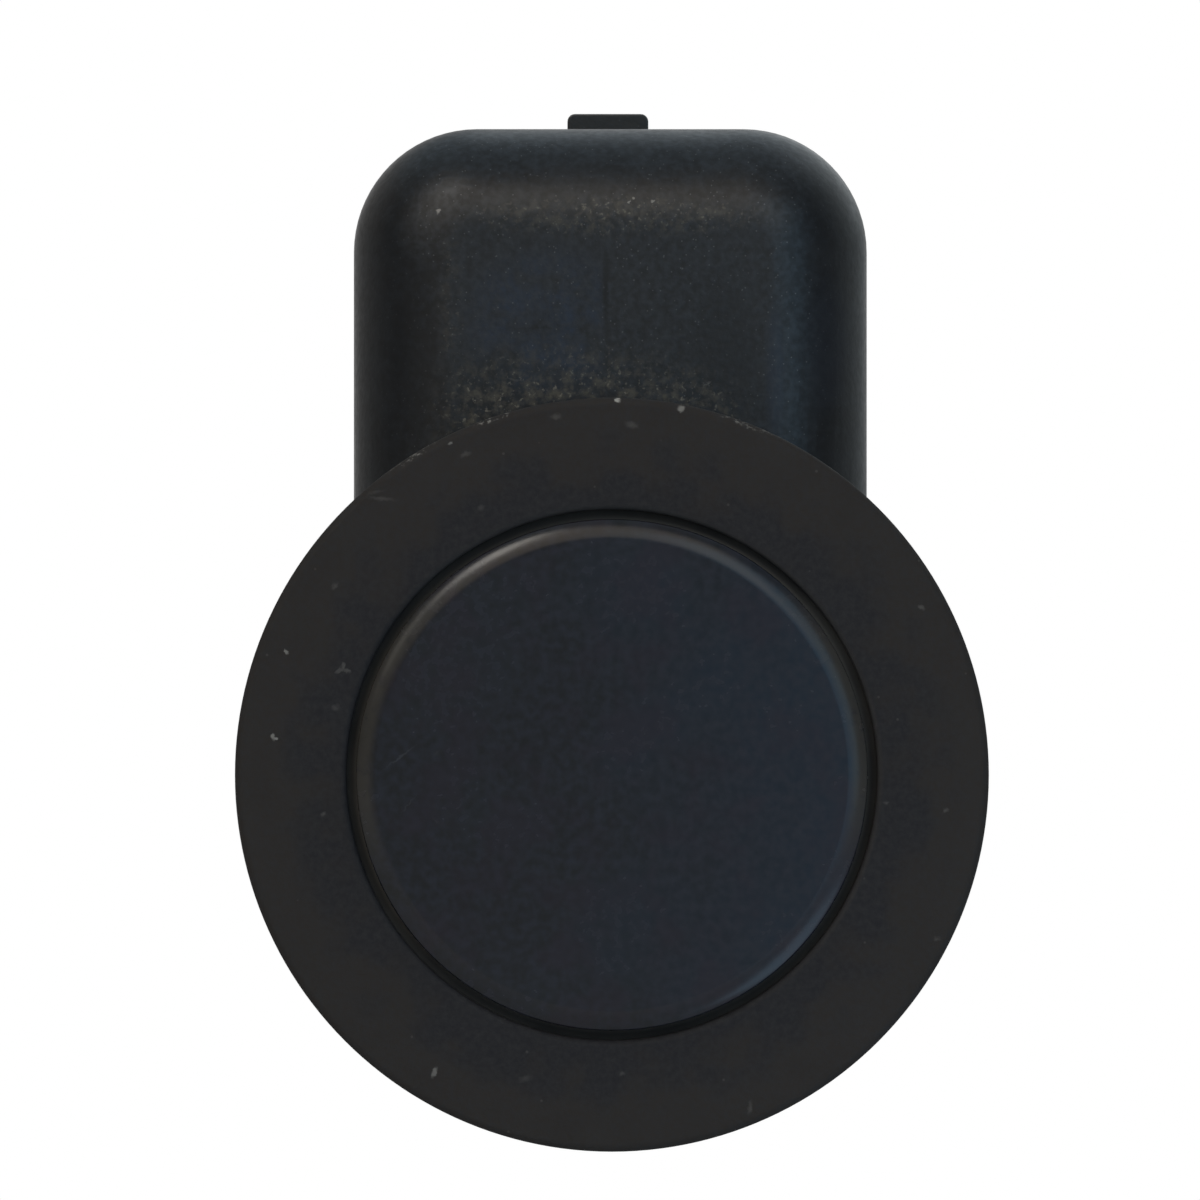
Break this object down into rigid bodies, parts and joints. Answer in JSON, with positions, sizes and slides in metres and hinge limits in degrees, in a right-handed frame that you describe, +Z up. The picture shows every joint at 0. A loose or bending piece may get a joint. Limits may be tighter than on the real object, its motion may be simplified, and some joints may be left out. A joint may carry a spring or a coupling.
{
  "type": "parking sensor",
  "caption": "Ultrasonic vehicle parking sensor: round painted membrane in a soft ring on a moulded box with snap lugs and a keyed rear plug socket.",
  "frame": {"origin": "on the head's axis, in the plane where the soft ring seats on the housing's shoulder", "axes": "-Y along the head's axis, out of the membrane; +Z up towards the connector; +X across"},
  "size_m": [0.023, 0.0312, 0.033],
  "materials": {
    "ring_rubber": "matte",
    "membrane_paint": "satin",
    "sleeve_silicone": "matte",
    "piezo_ceramic": "matte",
    "foam": "open cell",
    "filler_silicone": "gloss",
    "lead_red": "satin",
    "lead_black": "satin",
    "housing_plastic": "fine texture",
    "cover_plastic": "fine texture",
    "board_laminate": "solder mask",
    "chip_plastic": "matte",
    "ferrite": "matte",
    "copper_wire": "enamelled",
    "can_aluminium": "satin",
    "chip_ceramic": "matte",
    "pin_metal": "tin plated"
  },
  "bodies": {
    "root": {"decoupling_ring": "ring_rubber", "membrane_pot": "membrane_paint", "pot_sleeve": "sleeve_silicone", "piezo_disc": "piezo_ceramic", "damping_foam": "foam", "pot_filler": "filler_silicone", "live_lead": "lead_red", "ground_lead": "lead_black", "housing": "housing_plastic", "rear_cover": "cover_plastic", "circuit_board": "board_laminate", "asic_chip": "chip_plastic", "transformer_base": "chip_plastic", "transformer_core": "ferrite", "transformer_coil": "copper_wire", "storage_capacitor": "can_aluminium", "capacitor_base": "chip_plastic", "protection_diode": "chip_plastic", "supply_pin": "pin_metal", "signal_pin": "pin_metal", "ground_pin": "pin_metal", "filter_capacitor_1": "chip_ceramic", "filter_capacitor_2": "chip_ceramic", "filter_capacitor_3": "chip_ceramic", "filter_capacitor_4": "chip_ceramic", "chip_resistor_1": "chip_plastic", "chip_resistor_2": "chip_plastic", "chip_resistor_3": "chip_plastic", "chip_resistor_4": "chip_plastic"}
  },
  "joints": []
}
